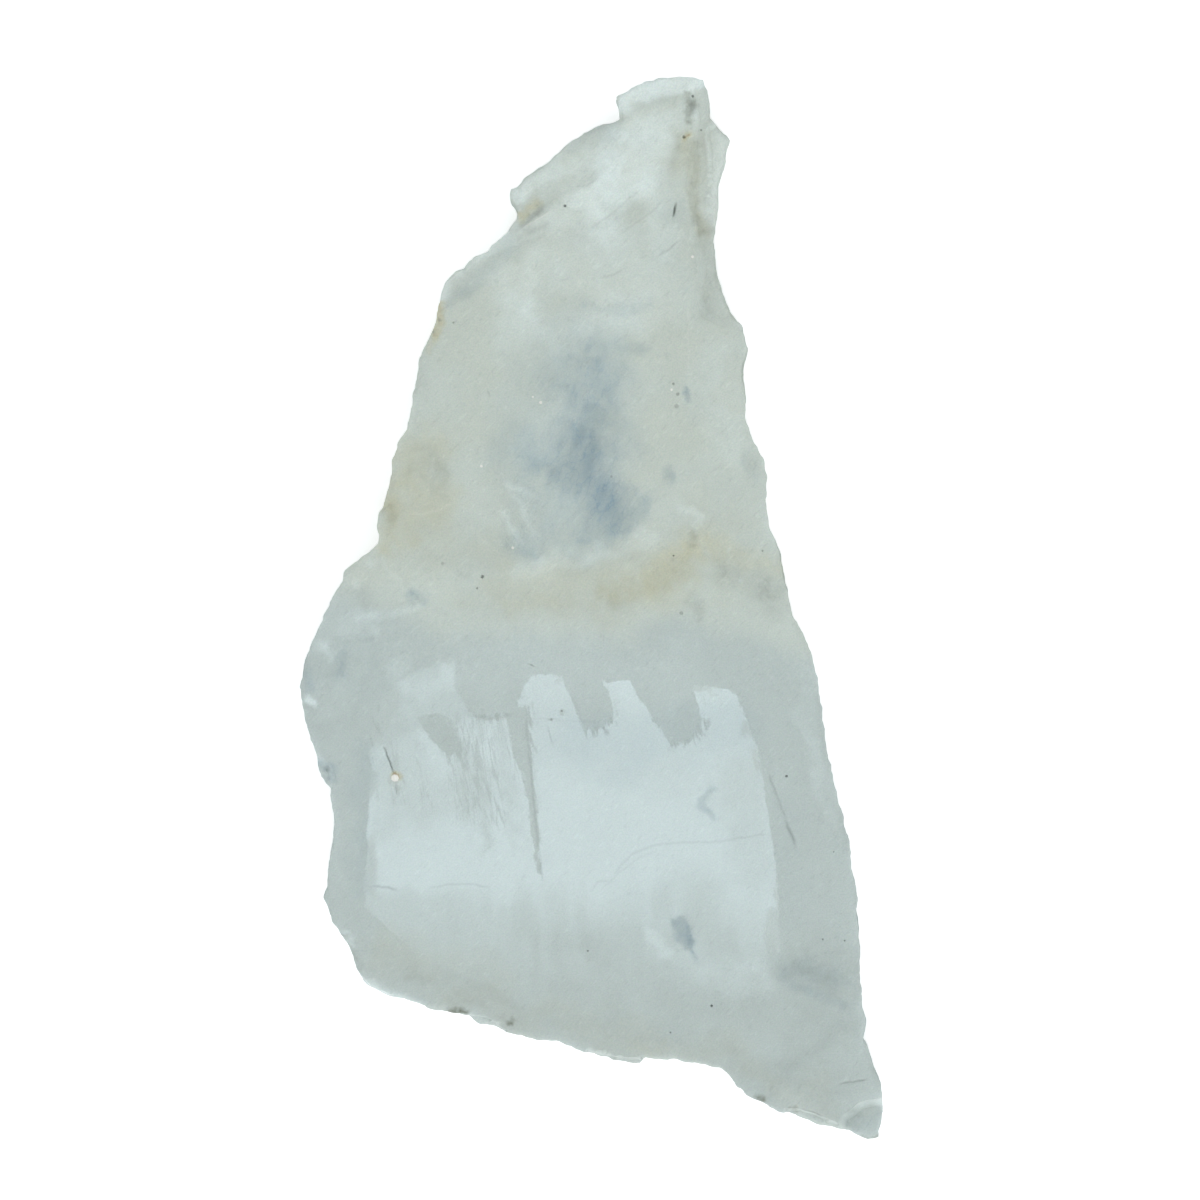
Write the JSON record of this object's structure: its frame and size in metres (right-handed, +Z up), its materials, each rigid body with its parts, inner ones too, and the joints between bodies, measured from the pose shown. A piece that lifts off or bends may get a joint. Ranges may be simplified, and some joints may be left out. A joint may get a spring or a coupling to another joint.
{
  "type": "selenite slab",
  "caption": "Long tapering slab of cloudy, pale grey-green selenite with a flat glossy cleavage window, stepped ledges and ragged edges, lying flat.",
  "frame": {"origin": "centre of the bounding box's bottom face, in the plane that the slab lies on", "axes": "+Y along the slab from its broad foot to its tip, +Z up through its thickness, +X across it"},
  "size_m": [0.0972, 0.1772, 0.0124],
  "materials": {
    "selenite": "cloudy and see-through, satin with a pearly cleavage window"
  },
  "bodies": {
    "root": {"selenite_slab": "selenite"}
  },
  "joints": []
}
